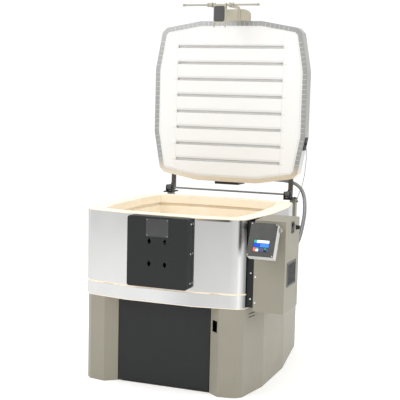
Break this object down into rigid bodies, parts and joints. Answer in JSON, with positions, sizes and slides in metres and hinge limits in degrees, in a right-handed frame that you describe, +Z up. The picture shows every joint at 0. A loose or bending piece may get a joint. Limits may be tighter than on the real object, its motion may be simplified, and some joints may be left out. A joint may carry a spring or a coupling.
{
  "type": "top-loading kiln on a storage stand",
  "caption": "Square-plan electric kiln with a rear-hinged lid that carries heating elements, a tilting control head and a stand with a storage door.",
  "frame": {"origin": "on the floor, under the centre of the chamber", "axes": "+Z up, +X to the right of a person who stands at the front, +Y to the back, so the front with the terminal cover faces -Y"},
  "size_m": [1.0317, 1.1242, 1.843],
  "materials": {
    "stand_paint": "satin",
    "door_paint": "satin",
    "charcoal_paint": "satin",
    "plated_steel": "satin",
    "stainless": "polished",
    "firebrick": "matt",
    "lid_board": "matt",
    "element_wire": "matt",
    "porcelain": "matt",
    "plate_black": "satin",
    "grille_black": "satin",
    "switch_black": "satin",
    "head_grey": "satin",
    "face_black": "gloss",
    "screen": "gloss",
    "bar_paint": "satin",
    "conduit_grey": "satin"
  },
  "bodies": {
    "kiln": {"stand_left_side": "stand_paint", "stand_right_side": "stand_paint", "stand_back": "stand_paint", "stand_deck": "stand_paint", "stand_shelf": "stand_paint", "door_hinge_pins": "plated_steel", "floor_slab": "firebrick", "floor_band": "stainless", "bricks_lower": "firebrick", "bricks_middle": "firebrick", "bricks_upper": "firebrick", "wall_jacket": "stainless", "side_elements": "element_wire", "element_bushings": "porcelain", "terminal_cover": "charcoal_paint", "cover_screws": "plated_steel", "cover_plate": "plate_black", "plate_rivets": "plated_steel", "thermocouple": "porcelain", "mount_channel": "charcoal_paint", "control_box": "stand_paint", "box_front_panel": "stand_paint", "box_screws": "plated_steel", "vent_grille": "grille_black", "switch_bezel": "switch_black", "fuse_holder": "switch_black", "power_relays": "switch_black", "relay_panel": "plated_steel", "head_bracket": "stand_paint", "hinge_post_left": "stand_paint", "hinge_post_right": "stand_paint", "hinge_brackets": "charcoal_paint", "lid_conduit": "conduit_grey", "conduit_box_nut": "plated_steel", "stay_cable": "plated_steel", "band_clamps": "plated_steel"},
    "lid": {"hinge_rod": "plated_steel", "lid_arms": "charcoal_paint", "lid_band": "stainless", "lid_top_panel": "stainless", "lid_slab": "lid_board", "lid_elements": "element_wire", "lid_terminal_cover": "charcoal_paint", "handle_base": "stand_paint", "handle_arms": "stand_paint", "handle_bar": "bar_paint", "handle_collars": "bar_paint", "conduit_lid_nut": "plated_steel", "stay_bracket": "charcoal_paint", "strap_bolts": "plated_steel", "lid_buttons": "porcelain"},
    "hasp": {"hanging_channel": "stand_paint", "channel_plate": "plate_black"},
    "head": {"head_housing": "head_grey", "face_plate": "face_black", "touch_screen": "screen", "face_screws": "plated_steel", "thumb_screws": "switch_black"},
    "rocker": {"power_rocker": "switch_black"},
    "door": {"storage_door": "door_paint"}
  },
  "joints": [
    {"name": "lid_hinge", "type": "hinge", "parent": "kiln", "child": "lid", "pos_m": [0, 0.4793, 0.8523], "axis": [1, 0, 0], "range_deg": [0, 90.6], "deforming": ["lid_conduit", "stay_cable"]},
    {"name": "hasp_swing", "type": "hinge", "parent": "lid", "child": "hasp", "pos_m": [0, 0.30014, 1.83103], "axis": [1, 0, 0], "range_deg": [-90.6, 0]},
    {"name": "head_tilt", "type": "hinge", "parent": "kiln", "child": "head", "pos_m": [0.4996, -0.40276, 0.79038], "axis": [1, 0, 0], "range_deg": [-20, 26]},
    {"name": "rocker_tilt", "type": "hinge", "parent": "kiln", "child": "rocker", "pos_m": [0.5764, -0.2657, 0.7881], "axis": [0, -1, 0], "range_deg": [0, 24]},
    {"name": "door_hinge", "type": "hinge", "parent": "kiln", "child": "door", "pos_m": [-0.224, -0.3605, 0.206], "axis": [0, 0, -1], "range_deg": [0, 110]}
  ],
  "couplings": [
    {"joint": "hasp_swing", "follows": "lid_hinge", "ratio": -1}
  ]
}
